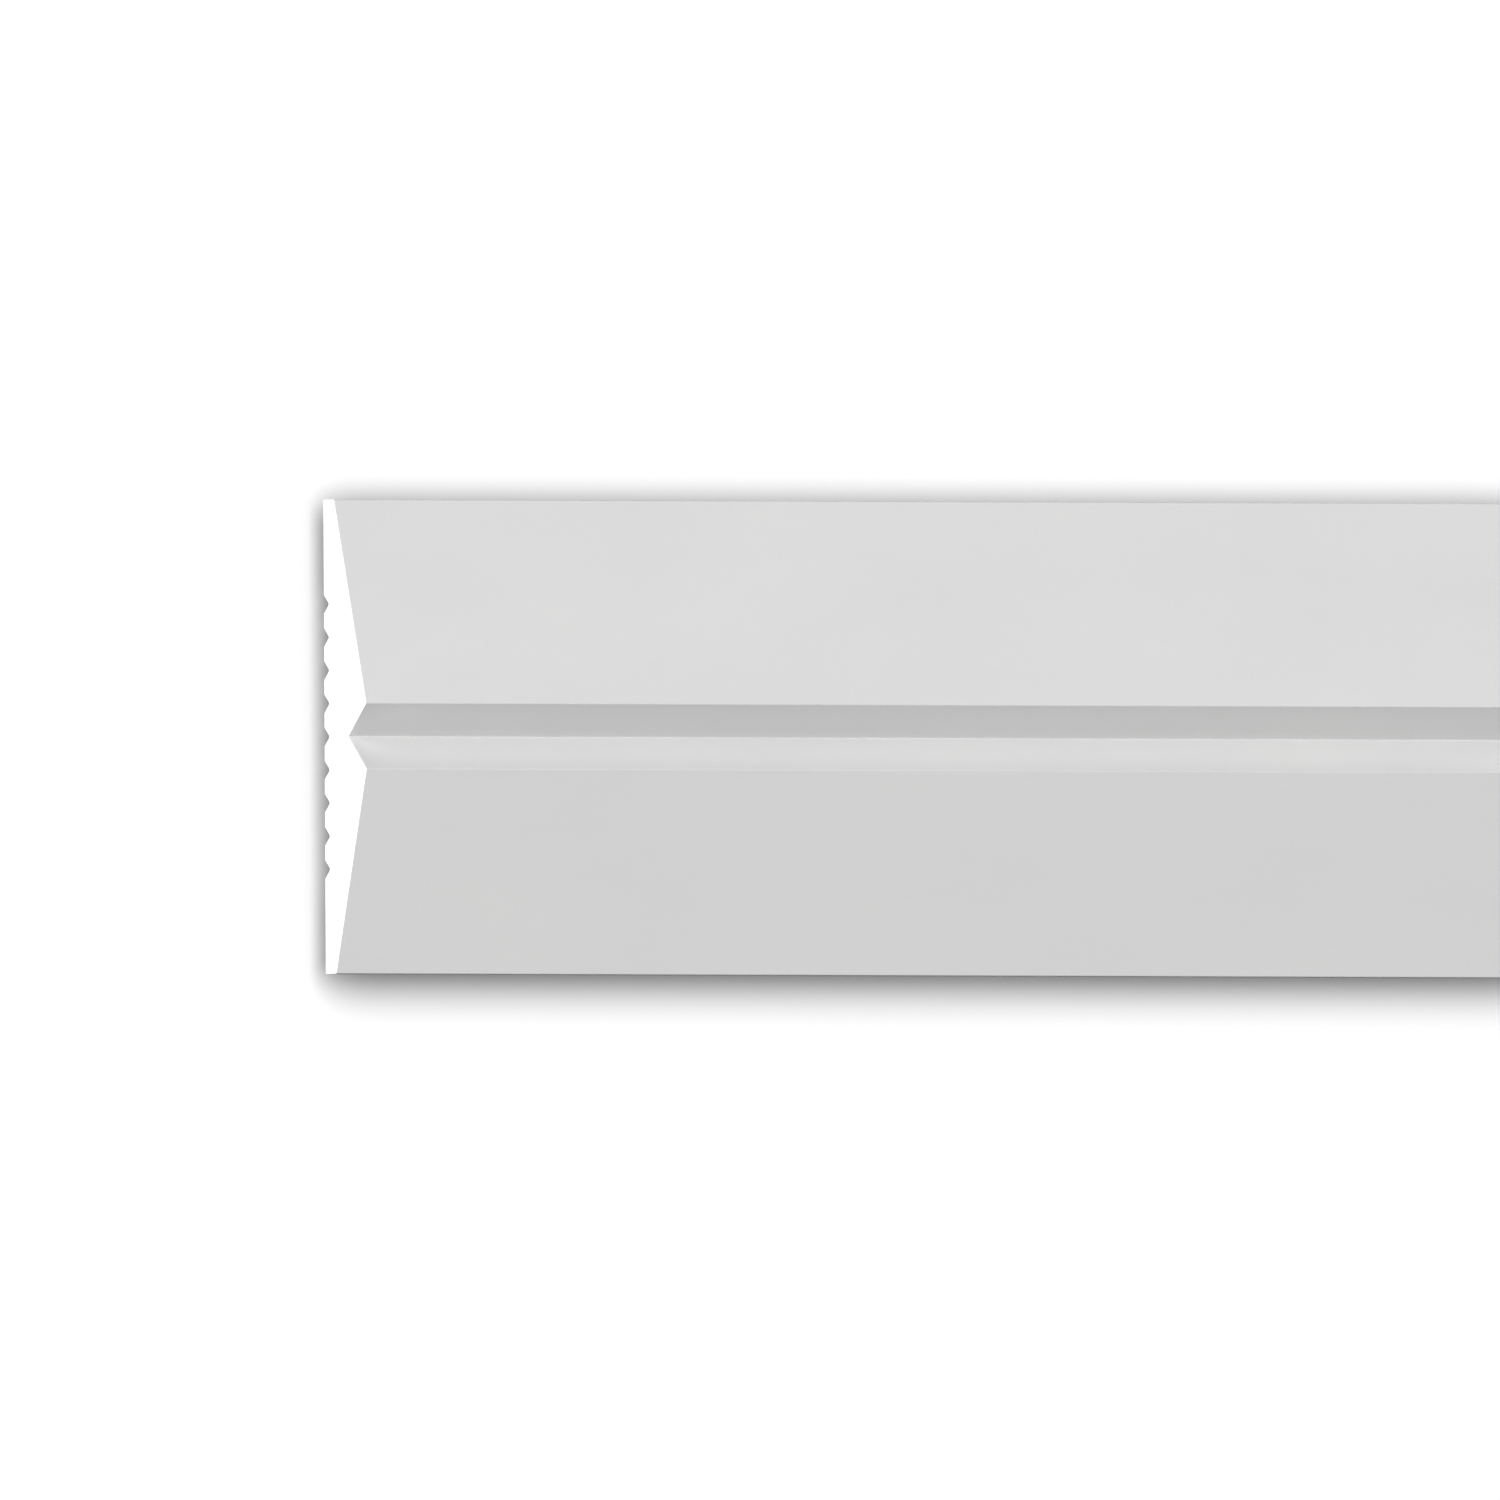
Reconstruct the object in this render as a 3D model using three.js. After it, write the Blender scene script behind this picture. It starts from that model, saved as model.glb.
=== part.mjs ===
import * as THREE from 'three';

// A straight length of flat panel moulding: two broad faces slope up from thin edges to a pair of sharp ridges,
// with a square V groove between them, and the flat back is scored with keying grooves for adhesive.
// Millimetres. X runs along the strip, Z is up across its width, and the front faces -Y.
// The back lies in the plane y = 0, where the wall is.

// Driving dimensions. Thicknesses and widths are to the sharp corners, before rounding.
const LENGTH = 300;
const WIDTH = 100;
const EDGE_THICKNESS = 4;
const RIDGE_THICKNESS = 16;
const GROOVE_WIDTH = 13.8;
const FLANK_ANGLE_DEG = 45;
const KEY_COUNT = 9;
const KEY_PITCH = 7;
const KEY_WIDTH = 4;

// Rounding of the corners of the section
const ARRIS_RADIUS = 0.3;
const VALLEY_RADIUS = 0.2;
const BACK_CORNER_RADIUS = 0.2;
const KEY_LIP_RADIUS = 0.2;
const KEY_ROOT_RADIUS = 0.5;
const ARC_STEPS = 2;

// Sizes that follow from the driving dimensions. Both kinds of groove have flanks at the same angle.
const FLANK_SLOPE = Math.tan(THREE.MathUtils.degToRad(FLANK_ANGLE_DEG));
const GROOVE_DEPTH = (GROOVE_WIDTH / 2) * FLANK_SLOPE;
const VALLEY_THICKNESS = RIDGE_THICKNESS - GROOVE_DEPTH;
const KEY_DEPTH = (KEY_WIDTH / 2) * FLANK_SLOPE;

// The origin is on the back, halfway along, in the middle of the land just below the middle keying groove.
// So the centre line of the section is half a pitch above it.
const CENTRE_LINE_Z = KEY_PITCH / 2;
const TOP_Z = CENTRE_LINE_Z + WIDTH / 2;
const BOTTOM_Z = CENTRE_LINE_Z - WIDTH / 2;

const primedPolymer = new THREE.MeshStandardMaterial({ color: 0xdcdcdb, roughness: 0.6, metalness: 0 });

// One corner of the section before rounding: its depth in front of the wall, its height and its radius.
function corner(thickness, z, radius) {
  return { at: new THREE.Vector2(-thickness, z), radius };
}

// The front, from the bottom edge up: edge, lower ridge, valley, upper ridge, edge.
function frontCorners() {
  const halfGroove = GROOVE_WIDTH / 2;
  return [
    corner(EDGE_THICKNESS, BOTTOM_Z, ARRIS_RADIUS),
    corner(RIDGE_THICKNESS, CENTRE_LINE_Z - halfGroove, ARRIS_RADIUS),
    corner(VALLEY_THICKNESS, CENTRE_LINE_Z, VALLEY_RADIUS),
    corner(RIDGE_THICKNESS, CENTRE_LINE_Z + halfGroove, ARRIS_RADIUS),
    corner(EDGE_THICKNESS, TOP_Z, ARRIS_RADIUS),
  ];
}

// One keying groove, from its upper lip down: lip, blunt root, lip.
function keyCorners(z) {
  return [
    corner(0, z + KEY_WIDTH / 2, KEY_LIP_RADIUS),
    corner(KEY_DEPTH, z, KEY_ROOT_RADIUS),
    corner(0, z - KEY_WIDTH / 2, KEY_LIP_RADIUS),
  ];
}

// The back, from the top edge down, with the keying grooves spread evenly about the centre line.
function backCorners() {
  const corners = [corner(0, TOP_Z, BACK_CORNER_RADIUS)];
  for (let i = 0; i < KEY_COUNT; i += 1) {
    const steps = (KEY_COUNT - 1) / 2 - i;
    corners.push(...keyCorners(CENTRE_LINE_Z + steps * KEY_PITCH));
  }
  corners.push(corner(0, BOTTOM_Z, BACK_CORNER_RADIUS));
  return corners;
}

// A closed outline of straight runs, with an arc that touches both runs in place of each corner.
function roundedOutline(corners) {
  const outline = new THREE.Shape();
  corners.forEach(({ at, radius }, i) => {
    const before = corners.at(i - 1).at;
    const after = corners[(i + 1) % corners.length].at;
    const arriving = at.clone().sub(before).normalize();
    const leaving = after.clone().sub(at).normalize();
    const turn = Math.atan2(arriving.cross(leaving), arriving.dot(leaving));
    const start = at.clone().addScaledVector(arriving, -radius * Math.tan(Math.abs(turn) / 2));
    const inward = new THREE.Vector2(-arriving.y, arriving.x).multiplyScalar(Math.sign(turn));
    const centre = start.clone().addScaledVector(inward, radius);
    const startAngle = Math.atan2(-inward.y, -inward.x);
    outline.absarc(centre.x, centre.y, radius, startAngle, startAngle + turn, turn < 0);
  });
  return outline;
}

// The strip: the section carried along its length and cut square at both ends.
function panelMoulding() {
  const section = roundedOutline([...frontCorners(), ...backCorners()]);
  const geometry = new THREE.ExtrudeGeometry(section, {
    depth: LENGTH,
    steps: 1,
    curveSegments: ARC_STEPS,
    bevelEnabled: false,
  });
  const strip = new THREE.Mesh(geometry, primedPolymer);
  strip.name = 'panel_moulding';
  // The section is drawn in depth and height, so its own X, Y and Z become the part's Y, Z and X.
  strip.rotation.set(Math.PI / 2, Math.PI / 2, 0);
  strip.position.x = -LENGTH / 2;
  return strip;
}

const part = new THREE.Group();
part.add(panelMoulding());

export default part;
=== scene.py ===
"""The looks of a straight length of primed panel moulding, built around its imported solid.

Everything is in metres. X runs along the strip, Z is up across its width, the moulded front faces -Y, and the
back lies in the plane y = 0. The origin is on the back, on the land just below the middle keying groove.
"""

from __future__ import annotations

import logging
import math
from collections.abc import Mapping, Sequence
from dataclasses import dataclass
from enum import IntEnum
from functools import cached_property

import bpy
import numpy as np
from mathutils import Matrix, Vector

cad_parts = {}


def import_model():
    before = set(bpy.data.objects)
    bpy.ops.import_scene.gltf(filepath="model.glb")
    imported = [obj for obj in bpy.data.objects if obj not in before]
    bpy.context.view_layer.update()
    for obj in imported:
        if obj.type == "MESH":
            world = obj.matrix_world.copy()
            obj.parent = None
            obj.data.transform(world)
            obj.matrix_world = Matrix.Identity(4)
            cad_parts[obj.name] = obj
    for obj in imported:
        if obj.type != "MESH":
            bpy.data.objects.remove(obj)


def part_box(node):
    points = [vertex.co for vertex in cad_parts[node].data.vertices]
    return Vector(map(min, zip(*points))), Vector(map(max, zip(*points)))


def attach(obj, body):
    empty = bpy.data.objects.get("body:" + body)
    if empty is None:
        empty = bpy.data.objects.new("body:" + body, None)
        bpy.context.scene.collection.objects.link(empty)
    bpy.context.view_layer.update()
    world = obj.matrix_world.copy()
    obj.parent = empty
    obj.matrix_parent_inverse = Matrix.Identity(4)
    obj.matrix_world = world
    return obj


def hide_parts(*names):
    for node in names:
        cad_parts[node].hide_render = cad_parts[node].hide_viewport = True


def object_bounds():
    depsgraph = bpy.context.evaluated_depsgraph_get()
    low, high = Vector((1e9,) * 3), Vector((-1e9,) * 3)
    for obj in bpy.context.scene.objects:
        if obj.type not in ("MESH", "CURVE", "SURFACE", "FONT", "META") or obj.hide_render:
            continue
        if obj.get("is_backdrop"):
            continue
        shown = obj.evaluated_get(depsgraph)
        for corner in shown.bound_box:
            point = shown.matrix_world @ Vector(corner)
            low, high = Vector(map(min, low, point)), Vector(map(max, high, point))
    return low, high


NODE = "panel_moulding"
BODY = "root"
PIECE_NAME = "moulding_strip"
MM = 0.001

Colour = tuple[float, float, float]
Grain = tuple[float, float, float]
Span = tuple[float, float]
Box = tuple[Vector, Vector]

# The colour sockets of a Mix node, which have the same names as its number sockets
MIX_SHARE, MIX_LOW, MIX_HIGH, MIX_RESULT = 0, 6, 7, 2

log = logging.getLogger("panel_moulding")


# The section

@dataclass(frozen=True)
class Corner:
    """One corner of the section before it is rounded."""

    thickness: float
    height: float
    radius: float


def rounded_path(corners: Sequence[Corner], steps: int) -> np.ndarray:
    """Rounds the inner corners of an open path, and leaves its two ends off.

    At each corner the straight run stops short by radius * tan(|turn| / 2), and an arc of that radius turns
    from there to the next run, which it touches at the same distance past the corner.

    Args:
        corners: the path's corners in order, the first and last of which only give directions.
        steps: how many straight pieces stand for each arc.

    Returns:
        An array of (thickness, height) rows, steps + 1 of them for each rounded corner.
    """
    places = np.array([(c.thickness, c.height) for c in corners])
    radius = np.array([c.radius for c in corners[1:-1]])[:, None]
    runs = np.diff(places, axis=0)
    runs /= np.linalg.norm(runs, axis=1, keepdims=True)
    arriving, leaving = runs[:-1], runs[1:]
    cross = arriving[:, 0] * leaving[:, 1] - arriving[:, 1] * leaving[:, 0]
    turn = np.arctan2(cross, np.sum(arriving * leaving, axis=1))[:, None]
    start = places[1:-1] - arriving * radius * np.tan(np.abs(turn) / 2)
    spoke = np.column_stack([arriving[:, 1], -arriving[:, 0]]) * np.sign(turn) * radius
    centre = start - spoke
    angle = turn * np.linspace(0, 1, steps + 1)
    thickness = centre[:, :1] + spoke[:, :1] * np.cos(angle) - spoke[:, 1:] * np.sin(angle)
    height = centre[:, 1:] + spoke[:, :1] * np.sin(angle) + spoke[:, 1:] * np.cos(angle)
    return np.stack([thickness.ravel(), height.ravel()], axis=1)


@dataclass(frozen=True)
class MouldingSection:
    """The section of the strip, as two curves over the height: the front and the keyed back.

    Heights are counted from the centre line, and thicknesses from the plane of the back.
    """

    width: float
    ridge_thickness: float
    edge_thickness: float = 4 * MM
    groove_width: float = 13.8 * MM
    flank_angle: float = math.radians(45)
    key_count: int = 9
    key_pitch: float = 7 * MM
    key_width: float = 4 * MM
    arris_radius: float = 0.3 * MM
    valley_radius: float = 0.2 * MM
    back_corner_radius: float = 0.2 * MM
    key_lip_radius: float = 0.2 * MM
    key_root_radius: float = 0.5 * MM
    arc_steps: int = 8
    plain_spacing: float = 2.5 * MM
    closest_rows: float = 0.015 * MM

    @property
    def flank_slope(self) -> float:
        """How much a groove deepens for each unit of height, the same in both kinds of groove."""
        return math.tan(self.flank_angle)

    @property
    def crest_loss(self) -> float:
        """How far rounding lowers a ridge below its sharp corner.

        An arc of radius r that touches faces at angles a and b to the back tops out
        r * ((sin a + sin b) / sin(a + b) - 1) below the corner where those faces meet.

        Returns:
            The loss of thickness.
        """
        rise = self.ridge_thickness - self.edge_thickness
        face_angle = math.atan2(rise, (self.width - self.groove_width) / 2)
        both = math.sin(face_angle) + math.sin(self.flank_angle)
        return self.arris_radius * (both / math.sin(face_angle + self.flank_angle) - 1)

    def front(self) -> np.ndarray:
        """The front from the bottom edge to the top edge: edge, ridge, valley, ridge, edge.

        The valley lies half the groove's width times the flanks' slope below the ridges' sharp corners.

        Returns:
            The curve as (thickness, height) rows.
        """
        half_width, half_groove = self.width / 2, self.groove_width / 2
        ridge = self.ridge_thickness + self.crest_loss
        valley = ridge - half_groove * self.flank_slope
        edge, arris = self.edge_thickness, self.arris_radius
        corners = [
            Corner(0, -half_width, 0),
            Corner(edge, -half_width, arris),
            Corner(ridge, -half_groove, arris),
            Corner(valley, 0, self.valley_radius),
            Corner(ridge, half_groove, arris),
            Corner(edge, half_width, arris),
            Corner(0, half_width, 0),
        ]
        return rounded_path(corners, self.arc_steps)

    def back(self) -> np.ndarray:
        """The back from the bottom edge to the top edge, with its keying grooves about the centre line.

        Groove number i of n lies (i - (n - 1) / 2) pitches above the centre line.

        Returns:
            The curve as (thickness, height) rows.
        """
        half_width, half_key = self.width / 2, self.key_width / 2
        depth = half_key * self.flank_slope
        steps = np.arange(self.key_count) - (self.key_count - 1) / 2
        keys = [
            Corner(thickness, height + offset, radius)
            for height in steps * self.key_pitch
            for thickness, offset, radius in (
                (0, -half_key, self.key_lip_radius),
                (depth, 0, self.key_root_radius),
                (0, half_key, self.key_lip_radius),
            )
        ]
        corners = [
            Corner(self.edge_thickness, -half_width, 0),
            Corner(0, -half_width, self.back_corner_radius),
            *keys,
            Corner(0, half_width, self.back_corner_radius),
            Corner(self.edge_thickness, half_width, 0),
        ]
        return rounded_path(corners, self.arc_steps)

    def curves(self) -> tuple[np.ndarray, np.ndarray, np.ndarray]:
        """Samples both curves at one set of heights, so that the cut end is a ruled grid between them.

        The heights are those of either curve's points and an even row of their own, thinned to closest_rows.

        Returns:
            The heights from the bottom edge up, and the front's and the back's thickness at each.
        """
        front, back = self.front(), self.back()
        rows = round(self.width / self.plain_spacing) + 1
        plain = np.linspace(-self.width / 2, self.width / 2, rows)
        heights = np.unique(np.concatenate([front[:, 1], back[:, 1], plain]))
        bins = np.round((heights - heights[0]) / self.closest_rows)
        _, first = np.unique(bins, return_index=True)
        heights = np.append(heights[first[:-1]], heights[-1])
        return (
            heights,
            np.interp(heights, front[:, 1], front[:, 0]),
            np.interp(heights, back[:, 1], back[:, 0]),
        )


# The strip

class Finish(IntEnum):
    """The finish of a face, which is also the number of its material on the strip."""

    PRIMED = 0
    SAWN = 1
    RAW = 2


@dataclass(frozen=True)
class MouldingStrip:
    """The one physical piece: the section carried along a straight length and sawn square at both ends."""

    section: MouldingSection
    length: float
    centre_height: float
    station_spacing: float = 10 * MM
    saw_break: float = 0.06 * MM
    end_columns: int = 8

    @classmethod
    def in_frame(cls, node: str) -> MouldingStrip:
        """Takes the strip's length, width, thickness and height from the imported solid.

        Args:
            node: the name of the solid.

        Returns:
            A strip that fills the solid's box.
        """
        low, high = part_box(node)
        section = MouldingSection(width=high.z - low.z, ridge_thickness=-low.y)
        return cls(section, length=high.x - low.x, centre_height=(high.z + low.z) / 2)

    def ring(self, drawn_in: float = 0.0) -> tuple[np.ndarray, np.ndarray]:
        """The closed outline of the section: up the front, across the top edge, down the back, and round.

        To draw it in, the front and the back move towards each other, and all heights shrink towards the
        centre line by one factor, so that points at one height stay so and none passes its neighbour.

        Args:
            drawn_in: how far each face lies inside the true outline.

        Returns:
            The outline as (y, z) rows, and the finish of the face from each point to the next.
        """
        heights, front, back = self.section.curves()
        heights = heights * (1 - 2 * drawn_in / self.section.width)
        front, back = front - drawn_in, back + drawn_in
        share = np.arange(1, self.end_columns) / self.end_columns
        top = front[-1] + (back[-1] - front[-1]) * share
        bottom = back[0] + (front[0] - back[0]) * share
        thickness = np.concatenate([front, top, back[::-1], bottom])
        height = np.concatenate(
            [heights, np.full(top.size, heights[-1]), heights[::-1], np.full(bottom.size, heights[0])]
        )
        finish = np.full(thickness.size, Finish.PRIMED)
        back_start = front.size + top.size
        finish[back_start : back_start + back.size - 1] = Finish.RAW
        return np.column_stack([-thickness, height + self.centre_height]), finish

    def sides(self) -> tuple[np.ndarray, np.ndarray, np.ndarray]:
        """The long surfaces: a point is the outline at one parameter, carried to a station by the other.

        Returns:
            The points, the quads, which face outwards, and the finish of each quad.
        """
        ring, finish = self.ring()
        half = self.length / 2
        count = round(self.length / self.station_spacing) + 1
        inner = np.linspace(-half + self.saw_break, half - self.saw_break, count)
        stations = np.concatenate([[-half], inner, [half]])
        outlines = np.repeat(ring[None], stations.size, axis=0)
        outlines[[0, -1]] = self.ring(self.saw_break)[0]
        along = np.repeat(stations[:, None], len(ring), axis=1)[..., None]
        points = np.concatenate([along, outlines], axis=2).reshape(-1, 3)
        number = np.arange(len(points)).reshape(stations.size, len(ring))
        following = np.roll(number, -1, axis=1)
        quads = np.stack([number[:-1], number[1:], following[1:], following[:-1]], axis=2)
        finishes = np.repeat(finish[None], stations.size - 1, axis=0)
        finishes[[0, -1]] = Finish.SAWN
        return points, quads.reshape(-1, 4), finishes.ravel()

    def end(self, points: np.ndarray, first: int, number: int) -> tuple[np.ndarray, np.ndarray]:
        """One sawn end: a grid ruled between the front and back of an outline that the sides already hold.

        Args:
            points: all points of the sides.
            first: the number of the outline's first point among them.
            number: the number that the end's first new point gets.

        Returns:
            The new points inside the outline, and the quads, which face along +X.
        """
        rows = self.section.curves()[0].size
        columns = self.end_columns
        size = 2 * rows + 2 * (columns - 1)
        grid = np.zeros((rows, columns + 1), int)
        grid[:, 0] = np.arange(rows)
        grid[-1, 1:-1] = rows + np.arange(columns - 1)
        grid[:, -1] = rows + columns - 1 + np.arange(rows)[::-1]
        grid[0, 1:-1] = size - 1 - np.arange(columns - 1)
        grid += first
        share = np.arange(1, columns)[None, :, None] / columns
        front, back = points[grid[1:-1, 0]][:, None], points[grid[1:-1, -1]][:, None]
        inside = (front + (back - front) * share).reshape(-1, 3)
        grid[1:-1, 1:-1] = number + np.arange(len(inside)).reshape(rows - 2, columns - 1)
        quads = np.stack([grid[:-1, :-1], grid[:-1, 1:], grid[1:, 1:], grid[1:, :-1]], axis=2)
        return inside, quads.reshape(-1, 4)

    def build(self) -> bpy.types.Object:
        """Makes the closed mesh of the strip.

        Returns:
            The piece, with the finish of each face as its material number.
        """
        points, quads, finish = self.sides()
        ring_size = len(self.ring()[0])
        last = len(points) - ring_size
        left, left_quads = self.end(points, 0, len(points))
        right, right_quads = self.end(points, last, len(points) + len(left))
        points = np.concatenate([points, left, right])
        quads = np.concatenate([quads, left_quads[:, ::-1], right_quads])
        finish = np.append(finish, np.full(len(left_quads) + len(right_quads), Finish.SAWN))
        piece = mesh_object(PIECE_NAME, points, quads)
        piece.data.polygons.foreach_set("material_index", finish.astype(np.int32))
        return piece

    def dress(self, piece: bpy.types.Object) -> None:
        """Puts the three finishes on the piece, in the order of their numbers.

        Args:
            piece: the mesh that build made.
        """
        finishes = {
            Finish.PRIMED: PrimedFace().material(),
            Finish.SAWN: SawnEnd().material(),
            Finish.RAW: KeyedBack(self.centre_height, self.section.width / 2).material(),
        }
        for finish in Finish:
            piece.data.materials.append(finishes[finish])


def mesh_object(name: str, points: np.ndarray, quads: np.ndarray) -> bpy.types.Object:
    """Makes an object at the origin from arrays of points and quads.

    Args:
        name: the object's name.
        points: its points as rows.
        quads: four point numbers for each face.

    Returns:
        The object, linked to the scene.
    """
    mesh = bpy.data.meshes.new(name)
    mesh.from_pydata(points.tolist(), [], quads.tolist())
    mesh.validate()
    thing = bpy.data.objects.new(name, mesh)
    bpy.context.scene.collection.objects.link(thing)
    return thing


# Shader arithmetic

class Value:
    """The number that a socket gives, with the operators of plain arithmetic. Each one adds a Math node."""

    def __init__(self, shader: Nodes, socket: bpy.types.NodeSocket) -> None:
        """Wraps one output socket of a shader's tree."""
        self.shader = shader
        self.socket = socket

    def math(self, operation: str, *operands: Value | float, clamp: bool = False) -> Value:
        """Adds one Math node.

        Args:
            operation: Blender's name of the operation.
            operands: its inputs in order.
            clamp: whether the result is kept from 0 to 1.

        Returns:
            The result.
        """
        settings = {"operation": operation, "use_clamp": clamp}
        node = self.shader.node("ShaderNodeMath", settings, dict(enumerate(operands)))
        return Value(self.shader, node.outputs[0])

    def __add__(self, other: Value | float) -> Value:
        """self + other."""
        return self.math("ADD", self, other)

    def __sub__(self, other: Value | float) -> Value:
        """self - other."""
        return self.math("SUBTRACT", self, other)

    def __rsub__(self, other: float) -> Value:
        """other - self."""
        return self.math("SUBTRACT", other, self)

    def __mul__(self, other: Value | float) -> Value:
        """self * other."""
        return self.math("MULTIPLY", self, other)

    __radd__ = __add__
    __rmul__ = __mul__

    def size(self) -> Value:
        """The value without its sign."""
        return self.math("ABSOLUTE", self)

    def between(self, low: float, high: float) -> Value:
        """0 below low, 1 above high, and a straight ramp from one to the other."""
        return self.math("MULTIPLY", self - low, 1 / (high - low), clamp=True)

    def around(self, middle: float, spread: float) -> Value:
        """A value from 0 to 1 carried to a range of that spread about that middle."""
        return self * spread + (middle - spread / 2)


class Nodes:
    """The node tree of a material or a world, and the one way to add a node to it."""

    def __init__(self, owner: bpy.types.Material | bpy.types.World) -> None:
        """Starts the owner's tree empty.

        Args:
            owner: the material or world that the nodes are for.
        """
        owner.use_nodes = True
        self.tree = owner.node_tree
        self.tree.nodes.clear()

    def node(
        self,
        kind: str,
        settings: Mapping[str, object] | None = None,
        inputs: Mapping[str | int, object] | None = None,
    ) -> bpy.types.Node:
        """Adds a node, sets its settings first and then its sockets.

        Args:
            kind: Blender's name of the node type.
            settings: attributes of the node.
            inputs: a value, socket or Value for each named or numbered input.

        Returns:
            The node.
        """
        node = self.tree.nodes.new(kind)
        for name, setting in (settings or {}).items():
            setattr(node, name, setting)
        for name, given in (inputs or {}).items():
            source = given.socket if isinstance(given, Value) else given
            if isinstance(source, bpy.types.NodeSocket):
                self.tree.links.new(source, node.inputs[name])
            else:
                node.inputs[name].default_value = source
        return node


class Shader(Nodes):
    """One material's node tree, on its own object coordinates. Its grain sizes are in millimetres."""

    def __init__(self, name: str) -> None:
        """Starts an empty material of that name."""
        self.material = bpy.data.materials.new(name)
        super().__init__(self.material)

    @cached_property
    def place(self) -> bpy.types.NodeSocket:
        """The object coordinates of the point that is shaded."""
        return self.node("ShaderNodeTexCoord").outputs["Object"]

    def axis(self, name: str) -> Value:
        """One object coordinate, X, Y or Z, in metres."""
        parts = self.node("ShaderNodeSeparateXYZ", inputs={0: self.place})
        return Value(self, parts.outputs[name])

    def stretched(self, grain: Grain) -> bpy.types.NodeSocket:
        """Object coordinates counted in grains of the given size along each axis."""
        scale = [1 / length for length in Vector(grain) * MM]
        return self.node("ShaderNodeMapping", inputs={0: self.place, "Scale": scale}).outputs[0]

    def noise(self, grain: Grain, detail: float = 2.0) -> Value:
        """Soft noise from 0 to 1.

        Args:
            grain: the size of one lump along each axis.
            detail: how many finer layers it has.

        Returns:
            The noise.
        """
        sockets = {"Vector": self.stretched(grain), "Scale": 1.0, "Detail": detail}
        return Value(self, self.node("ShaderNodeTexNoise", inputs=sockets).outputs[0])

    def cells(self, grain: Grain) -> Value:
        """The distance to the middle of the nearest cell of a foam, in cells.

        Args:
            grain: the size of one cell along each axis.

        Returns:
            The distance.
        """
        sockets = {"Vector": self.stretched(grain), "Scale": 1.0}
        return Value(self, self.node("ShaderNodeTexVoronoi", inputs=sockets).outputs["Distance"])

    def blend(self, low: Colour, high: Colour, share: Value) -> bpy.types.NodeSocket:
        """Mixes two colours.

        Args:
            low: the colour where the share is 0.
            high: the colour where it is 1.
            share: the share.

        Returns:
            The mixed colour.
        """
        settings = {"data_type": "RGBA", "clamp_factor": True}
        sockets = {MIX_SHARE: share, MIX_LOW: (*low, 1.0), MIX_HIGH: (*high, 1.0)}
        return self.node("ShaderNodeMix", settings, sockets).outputs[MIX_RESULT]

    def finish(
        self,
        colour: bpy.types.NodeSocket,
        roughness: Value,
        relief: Value,
        specular: float,
    ) -> bpy.types.Material:
        """Ends the tree with a Principled surface.

        Args:
            colour: the base colour.
            roughness: the roughness, from 0 to 1.
            relief: the height of the fine relief, in metres.
            specular: the specular level, the same all over.

        Returns:
            The finished material.
        """
        bump = self.node("ShaderNodeBump", inputs={"Height": relief, "Strength": 1.0, "Distance": 1.0})
        sockets = {
            "Base Color": colour,
            "Roughness": roughness,
            "Normal": bump.outputs[0],
            "Specular IOR Level": specular,
        }
        surface = self.node("ShaderNodeBsdfPrincipled", inputs=sockets)
        self.node("ShaderNodeOutputMaterial", inputs={"Surface": surface.outputs[0]})
        return self.material


# The finishes

@dataclass(frozen=True)
class PrimedFace:
    """Matt white primer, sprayed thin on smooth polymer: faint orange peel and hardly any change of tone.

    The tone drifts in wide clouds, and the draw is the faint grain that the die left along the strip.
    """

    pale: Colour = (0.698, 0.698, 0.695)
    deep: Colour = (0.682, 0.682, 0.683)
    tone_span: Span = (0.3, 0.7)
    cloud_share: float = 0.75
    cloud_grain: Grain = (60, 60, 24)
    peel_grain: Grain = (1.3, 1.3, 1.1)
    draw_grain: Grain = (90, 0.9, 0.9)
    dust_grain: Grain = (0.22, 0.22, 0.22)
    peel_depth: float = 0.004 * MM
    draw_depth: float = 0.002 * MM
    dust_depth: float = 0.0012 * MM
    roughness: float = 0.56
    roughness_spread: float = 0.08
    specular: float = 0.3

    def material(self) -> bpy.types.Material:
        """Builds the material.

        Returns:
            The primer.
        """
        shader = Shader("primed_face")
        cloud = shader.noise(self.cloud_grain, detail=3)
        peel = shader.noise(self.peel_grain)
        draw = shader.noise(self.draw_grain)
        dust = shader.noise(self.dust_grain)
        tone = (cloud * self.cloud_share + peel * (1 - self.cloud_share)).between(*self.tone_span)
        roughness = cloud.around(self.roughness, self.roughness_spread)
        relief = peel * self.peel_depth + draw * self.draw_depth + dust * self.dust_depth
        return shader.finish(shader.blend(self.deep, self.pale, tone), roughness, relief, self.specular)


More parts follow.
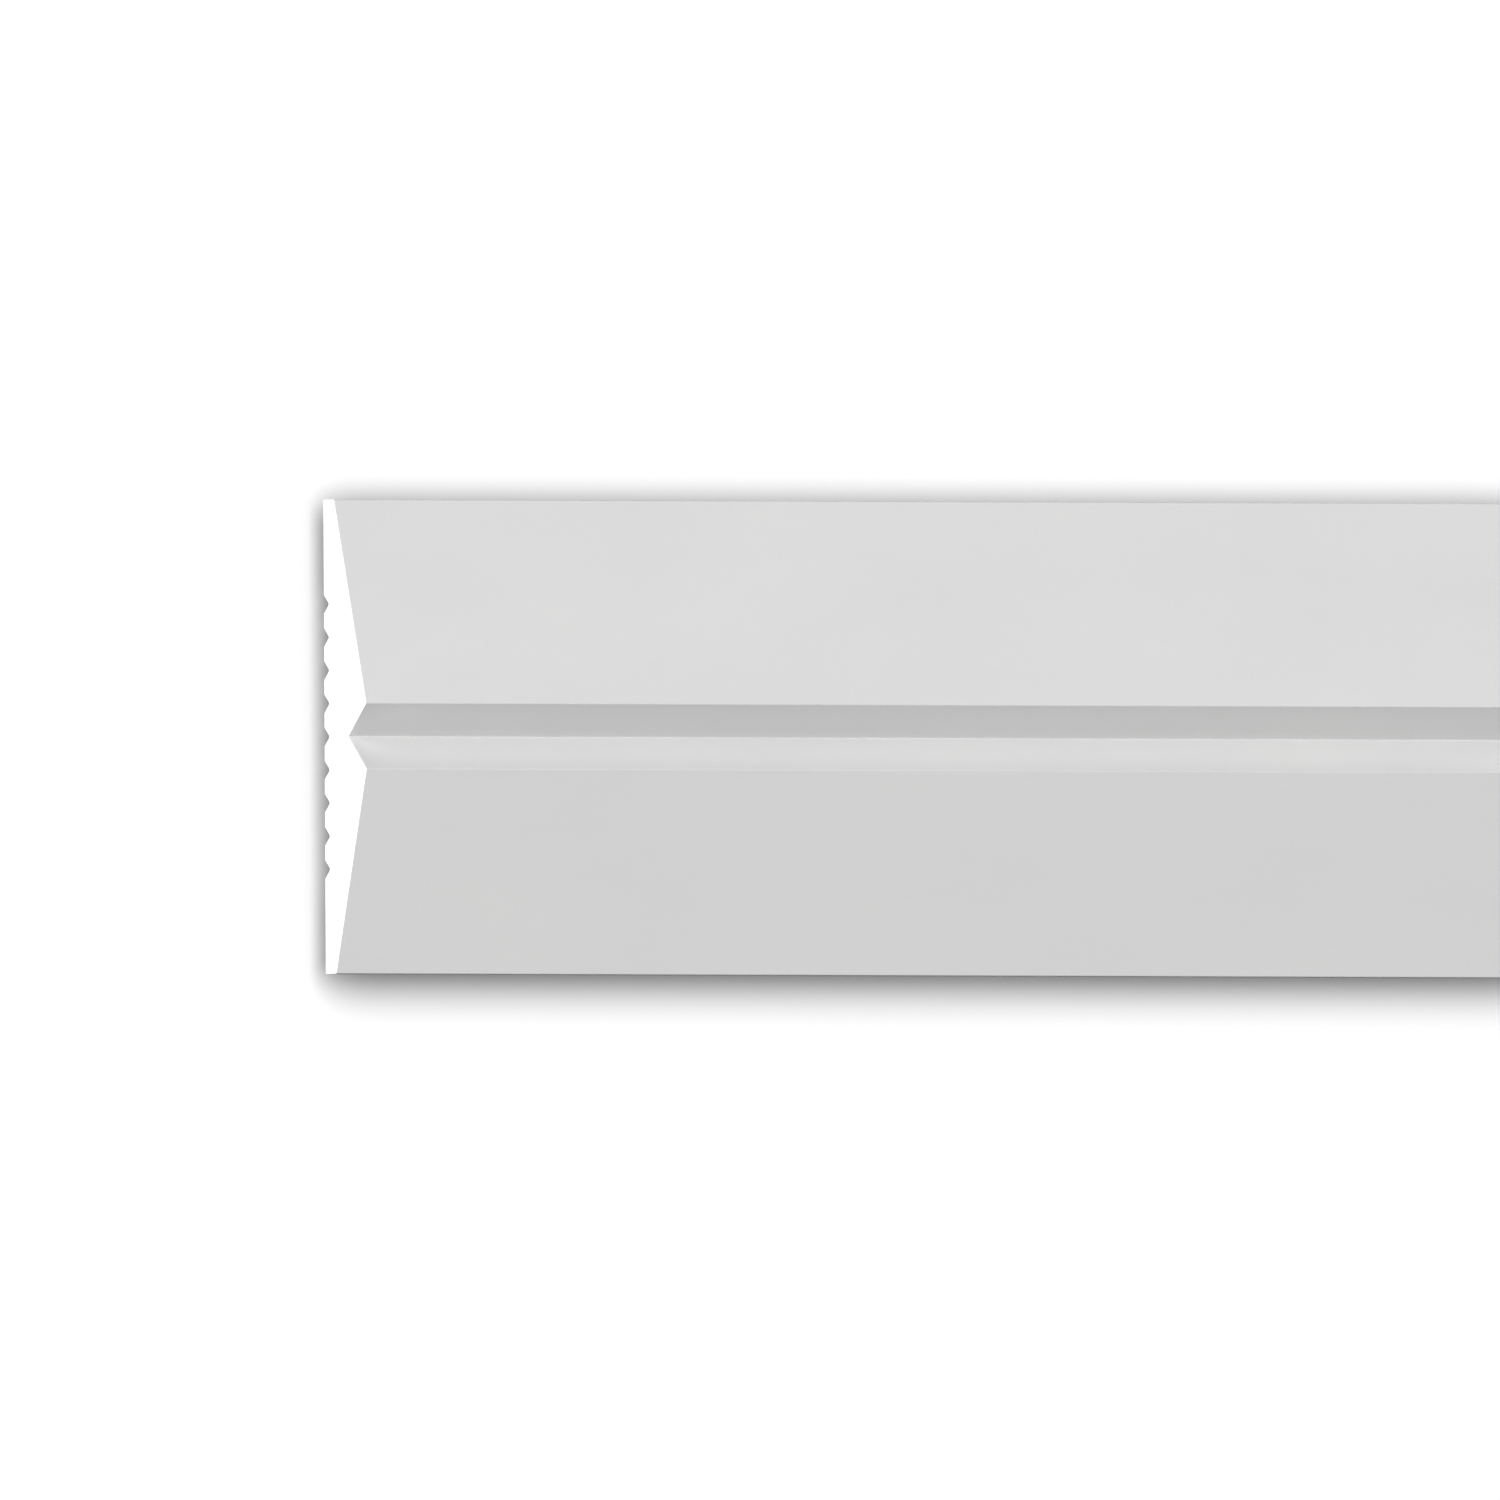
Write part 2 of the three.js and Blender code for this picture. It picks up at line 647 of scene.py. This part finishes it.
@dataclass(frozen=True)
class SawnEnd:
    """The polymer where the saw has opened it: whiter than the primer, with fine cells and saw marks.

    The saw opens the foam's cells only in patches, and an opened cell is a shallow pit, painted a deeper tone
    as painted shade in the pit.
    """

    cut: Colour = (0.9, 0.9, 0.895)
    # painted shade: the darker tone painted into each opened cell's pit, mixed in at this share
    pit_shade: Colour = (0.78, 0.78, 0.775)
    pit_shade_share: float = 0.7
    cell_span: Span = (0.08, 0.42)
    cell_grain: Grain = (0.28, 0.28, 0.28)
    patch_span: Span = (0.4, 0.62)
    patch_grain: Grain = (5, 5, 5)
    mark_grain: Grain = (40, 14, 0.7)
    cell_depth: float = 0.02 * MM
    mark_depth: float = 0.015 * MM
    roughness: float = 0.78
    roughness_spread: float = 0.1
    specular: float = 0.25

    def material(self) -> bpy.types.Material:
        """Builds the material.

        Returns:
            The sawn polymer.
        """
        shader = Shader("sawn_end")
        cells = shader.cells(self.cell_grain)
        patches = shader.noise(self.patch_grain, detail=3)
        marks = shader.noise(self.mark_grain, detail=3)
        opened = (1 - cells.between(*self.cell_span)) * patches.between(*self.patch_span)
        roughness = patches.around(self.roughness, self.roughness_spread)
        relief = marks * self.mark_depth - opened * self.cell_depth
        # painted shade: the opened pits are painted the darker pit tone
        colour = shader.blend(self.cut, self.pit_shade, opened * self.pit_shade_share)
        return shader.finish(colour, roughness, relief, self.specular)


@dataclass(frozen=True)
class KeyedBack:
    """The bare back: smooth polymer with faint die lines, and primer that drifted over its margins.

    The primer's ragged limit lies up to drift_width in from either edge, and fades over drift_span about it.
    """

    centre_height: float
    half_width: float
    bare: Colour = (0.83, 0.83, 0.815)
    primer: Colour = (0.71, 0.71, 0.708)
    primer_share: float = 0.85
    drift_width: float = 5 * MM
    drift_span: Span = (-2 * MM, 1 * MM)
    drift_grain: Grain = (7, 7, 2.5)
    line_grain: Grain = (160, 0.5, 0.5)
    pit_grain: Grain = (0.8, 0.8, 0.8)
    line_depth: float = 0.012 * MM
    pit_depth: float = 0.006 * MM
    roughness: float = 0.46
    roughness_spread: float = 0.14
    specular: float = 0.4

    def material(self) -> bpy.types.Material:
        """Builds the material.

        Returns:
            The bare polymer.
        """
        shader = Shader("keyed_back")
        lines = shader.noise(self.line_grain, detail=3)
        pits = shader.noise(self.pit_grain)
        ragged = shader.noise(self.drift_grain, detail=4)
        from_edge = self.half_width - (shader.axis("Z") - self.centre_height).size()
        drift = 1 - (from_edge - ragged * self.drift_width).between(*self.drift_span)
        colour = shader.blend(self.bare, self.primer, drift * self.primer_share)
        roughness = lines.around(self.roughness, self.roughness_spread)
        relief = lines * self.line_depth + pits * self.pit_depth
        return shader.finish(colour, roughness, relief, self.specular)


# The studio

def direction(azimuth: float, elevation: float) -> Vector:
    """The direction from the object to a light or the camera.

    It is (sin a * cos e, -cos a * cos e, sin e) at azimuth a and elevation e.

    Args:
        azimuth: 0 straight in front of the strip, on the -Y side, and 90 on the +X side, in degrees.
        elevation: 0 level with the strip and 90 straight above it, in degrees.

    Returns:
        The direction, one unit long.
    """
    a, e = math.radians(azimuth), math.radians(elevation)
    return Vector((math.sin(a) * math.cos(e), -math.cos(a) * math.cos(e), math.sin(e)))


@dataclass(frozen=True)
class SoftLight:
    """A far, round, soft light, which falls either on the backdrop alone or on everything but the backdrop.

    Its level is what a white card that faces it would read, and its spread is how wide the strip sees it.
    """

    name: str
    azimuth: float
    elevation: float
    level: float
    spread: float
    on_backdrop: bool = False

    def build(self) -> bpy.types.Object:
        """Makes the light and points it at the object.

        Returns:
            The light.
        """
        data = bpy.data.lights.new(self.name, "SUN")
        data.energy = math.pi * self.level
        data.angle = math.radians(self.spread)
        light = bpy.data.objects.new(self.name, data)
        light.rotation_mode = "QUATERNION"
        light.rotation_quaternion = direction(self.azimuth, self.elevation).to_track_quat("Z", "Y")
        bpy.context.scene.collection.objects.link(light)
        return light


@dataclass(frozen=True)
class Studio:
    """Pale paper below and behind the strip, soft light from beside the camera, and weaker light elsewhere.

    The paper is lit but gives no light back, and only its front shows, so that the keyed back can be lit and
    seen from behind. A black card behind the strip keeps the light on its back and edges off the paper.
    """

    backdrop_gap: float = 0.0075
    backdrop_width: float = 6.0
    backdrop_height: float = 3.0
    backdrop_tone: float = 0.89
    backdrop_glow: float = 0.07
    floor_drop: float = 0.6
    floor_reach: float = 6.0
    floor_tone: float = 0.8
    floor_glow: float = 0.1
    card_gap: float = 0.0005
    card_margin: float = 0.002
    sky_level: float = 0.06
    seen_sky: float = 0.86
    view_gamma: float = 0.7
    lights: tuple[SoftLight, ...] = (
        SoftLight("key_light", azimuth=-38, elevation=6, level=1.164, spread=46),
        SoftLight("high_light", azimuth=-60, elevation=40, level=0.301, spread=30),
        SoftLight("low_light", azimuth=-33, elevation=-65, level=0.17, spread=30),
        SoftLight("left_light", azimuth=-100, elevation=-25, level=0.167, spread=30),
        SoftLight("right_light", azimuth=105, elevation=20, level=0.65, spread=30),
        SoftLight("rear_light", azimuth=200, elevation=28, level=0.75, spread=30),
        SoftLight("paper_light", azimuth=-37, elevation=8.5, level=1.29, spread=62, on_backdrop=True),
    )

    def build(self, piece: bpy.types.Object, box: Box) -> None:
        """Makes everything that isn't the object.

        Args:
            piece: the object.
            box: its lowest and highest corner.
        """
        behind = self.lit_together("lit_behind", self.backdrop())
        in_front = self.lit_together("lit_in_front", piece, self.floor())
        self.card(*box)
        self.sky()
        for light in self.lights:
            lamp = light.build()
            lamp.light_linking.receiver_collection = behind if light.on_backdrop else in_front

    def lit_together(self, name: str, *things: bpy.types.Object) -> bpy.types.Collection:
        """Groups what one set of lights falls on.

        Args:
            name: the group's name.
            things: the objects in it.

        Returns:
            The group.
        """
        group = bpy.data.collections.new(name)
        for thing in things:
            group.objects.link(thing)
        return group

    def floor(self) -> bpy.types.Object:
        """A plain floor, well below the strip.

        Returns:
            The floor.
        """
        reach, drop = self.floor_reach, self.floor_drop
        corner = Vector((-reach, -reach, -drop))
        sheet = self.sheet("floor", corner, Vector((2 * reach, 0, 0)), Vector((0, 2 * reach, 0)))
        self.paper(sheet, self.floor_tone, self.floor_glow)
        return sheet

    def backdrop(self) -> bpy.types.Object:
        """A white sheet a little behind the strip, where its own wide light throws the strip's soft shadow.

        Returns:
            The sheet.
        """
        half, drop = self.backdrop_width / 2, self.floor_drop
        corner = Vector((-half, self.backdrop_gap, -drop))
        sheet = self.sheet("backdrop", corner, Vector((2 * half, 0, 0)), Vector((0, 0, self.backdrop_height)))
        self.paper(sheet, self.backdrop_tone, self.backdrop_glow)
        return sheet

    def card(self, low: Vector, high: Vector) -> None:
        """A black card a little larger than the strip, close behind it, which only bounced light meets.

        Args:
            low: the object's lowest corner.
            high: its highest corner.
        """
        margin = self.card_margin
        corner = Vector((low.x - margin, self.card_gap, low.z - margin))
        along = Vector((high.x - low.x + 2 * margin, 0, 0))
        across = Vector((0, 0, high.z - low.z + 2 * margin))
        sheet = self.sheet("black_card", corner, along, across)
        shader = Shader("black_card")
        black = shader.node("ShaderNodeBsdfDiffuse", inputs={"Color": (0.0, 0.0, 0.0, 1.0)})
        shader.node("ShaderNodeOutputMaterial", inputs={"Surface": black.outputs[0]})
        sheet.data.materials.append(shader.material)
        sheet.visible_camera = False
        sheet.visible_shadow = False
        sheet.visible_glossy = False

    def sheet(self, name: str, corner: Vector, along: Vector, across: Vector) -> bpy.types.Object:
        """A flat sheet that belongs to the stage and faces the way of along x across.

        Args:
            name: its name.
            corner: one corner.
            along: one side.
            across: the other side.

        Returns:
            The sheet.
        """
        points = np.array([corner, corner + along, corner + along + across, corner + across])
        sheet = mesh_object(name, points, np.array([[0, 1, 2, 3]]))
        sheet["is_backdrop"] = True
        return sheet

    def paper(self, sheet: bpy.types.Object, tone: float, glow: float) -> None:
        """Makes a sheet matt paper with a clear back, which lights nothing else and shades nothing.

        Args:
            sheet: the sheet.
            tone: how much of the light it reflects.
            glow: how much light it adds.
        """
        shader = Shader(sheet.name)
        matt = shader.node("ShaderNodeBsdfDiffuse", inputs={"Color": (tone, tone, tone, 1.0)})
        shine = shader.node("ShaderNodeEmission", inputs={"Strength": glow})
        front = shader.node("ShaderNodeAddShader", inputs={0: matt.outputs[0], 1: shine.outputs[0]})
        clear = shader.node("ShaderNodeBsdfTransparent")
        side = shader.node("ShaderNodeNewGeometry")
        sockets = {0: side.outputs["Backfacing"], 1: front.outputs[0], 2: clear.outputs[0]}
        shown = shader.node("ShaderNodeMixShader", inputs=sockets)
        shader.node("ShaderNodeOutputMaterial", inputs={"Surface": shown.outputs[0]})
        sheet.data.materials.append(shader.material)
        sheet.visible_shadow = False
        sheet.visible_diffuse = False
        sheet.visible_glossy = False

    def sky(self) -> None:
        """Even light from all round, with a paler tone where the camera looks straight at it."""
        world = bpy.data.worlds.new("studio_sky")
        nodes = Nodes(world)
        lit, seen = (
            nodes.node("ShaderNodeBackground", inputs={"Color": (level, level, level, 1.0)})
            for level in (self.sky_level, self.seen_sky)
        )
        path = nodes.node("ShaderNodeLightPath")
        sockets = {0: path.outputs["Is Camera Ray"], 1: lit.outputs[0], 2: seen.outputs[0]}
        shown = nodes.node("ShaderNodeMixShader", inputs=sockets)
        nodes.node("ShaderNodeOutputWorld", inputs={"Surface": shown.outputs[0]})
        bpy.context.scene.world = world

    def expose(self) -> None:
        """Shows the light as it is, with the deeper shadows of a plain studio photograph."""
        view = bpy.context.scene.view_settings
        view.view_transform = "Standard"
        view.gamma = self.view_gamma


@dataclass(frozen=True)
class PhotoCamera:
    """A camera without perspective, as far off as the photograph's seems to be.

    The photograph is photo_size pixels square, and shows the middle of the strip's back at anchor_pixel.
    """

    azimuth: float = -33.4
    elevation: float = -0.76
    roll: float = 0.3
    photo_size: int = 1500
    pixels_per_metre: float = 4742.0
    anchor_pixel: tuple[float, float] = (918.3, 739.0)
    distance: float = 0.5

    def build(self, anchor: Vector) -> bpy.types.Object:
        """Makes the camera and frames the strip as in the photograph.

        Args:
            anchor: the middle of the strip's back.

        Returns:
            The camera.
        """
        away = direction(self.azimuth, self.elevation)
        upright = away.to_track_quat("Z", "Y").to_matrix()
        turned = upright @ Matrix.Rotation(math.radians(-self.roll), 3, "Z")
        right, up = turned.col[0], turned.col[1]
        half = self.photo_size / 2
        to_right = (self.anchor_pixel[0] - half) / self.pixels_per_metre
        to_top = (half - self.anchor_pixel[1]) / self.pixels_per_metre
        data = bpy.data.cameras.new("photo_camera")
        data.type = "ORTHO"
        data.ortho_scale = self.photo_size / self.pixels_per_metre
        camera = bpy.data.objects.new("photo_camera", data)
        place = anchor - right * to_right - up * to_top + away * self.distance
        camera.matrix_world = Matrix.Translation(place) @ turned.to_4x4()
        bpy.context.scene.collection.objects.link(camera)
        bpy.context.scene.camera = camera
        return camera


def main() -> None:
    """Builds the strip, the studio and the camera in order."""
    logging.basicConfig(level=logging.INFO, format="%(name)s: %(message)s")
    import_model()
    cad_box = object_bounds()
    strip = MouldingStrip.in_frame(NODE)
    PhotoCamera().build(Vector((0, 0, strip.centre_height)))
    piece = strip.build()
    strip.dress(piece)
    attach(piece, BODY)
    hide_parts(NODE)
    log.info("%s: %d faces", piece.name, len(piece.data.polygons))
    studio = Studio()
    studio.build(piece, cad_box)
    studio.expose()


if __name__ == "__main__":
    main()
